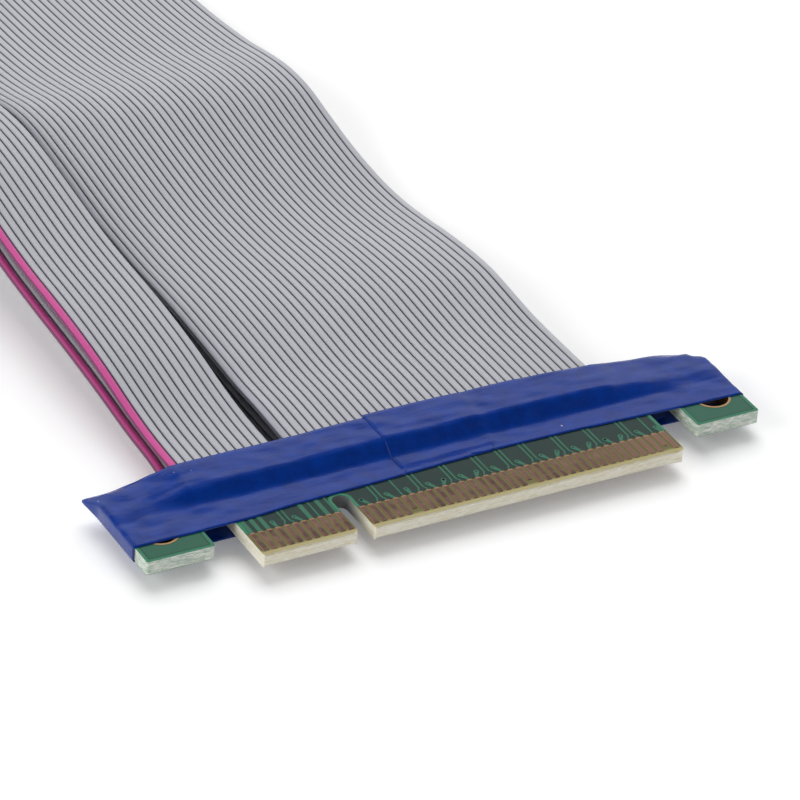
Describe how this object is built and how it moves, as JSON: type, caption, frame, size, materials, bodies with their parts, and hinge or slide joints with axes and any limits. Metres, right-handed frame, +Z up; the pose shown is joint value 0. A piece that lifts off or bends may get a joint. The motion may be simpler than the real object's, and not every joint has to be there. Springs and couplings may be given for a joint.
{
  "type": "ribbon riser cable",
  "caption": "Flexible riser: a card-edge board and a slot board joined by flat grey ribbon cable, each joint wound in blue tape.",
  "frame": {"origin": "middle of the underside, on the surface that the riser lies on", "axes": "+X along the contacts, from the short tab to the long tab; +Y from the card edge to the slot; +Z up, out of the slot's mouth"},
  "size_m": [0.0754, 0.261, 0.0143],
  "materials": {
    "circuit_board": "satin solder mask on glass-fibre laminate",
    "blue_tape": "glossy",
    "ribbon_cable": "satin, ribbed lengthwise",
    "slot_plastic": "moulded, satin",
    "contact_metal": "thin plating over copper",
    "bare_laminate": "cut glass-fibre laminate"
  },
  "bodies": {
    "root": {"edge_board": "circuit_board", "edge_tape": "blue_tape", "upper_narrow_ribbon": "ribbon_cable", "upper_wide_ribbon": "ribbon_cable", "lower_narrow_ribbon": "ribbon_cable", "lower_wide_ribbon": "ribbon_cable", "slot_board": "circuit_board", "slot_housing": "slot_plastic", "slot_tape": "blue_tape"}
  },
  "joints": []
}
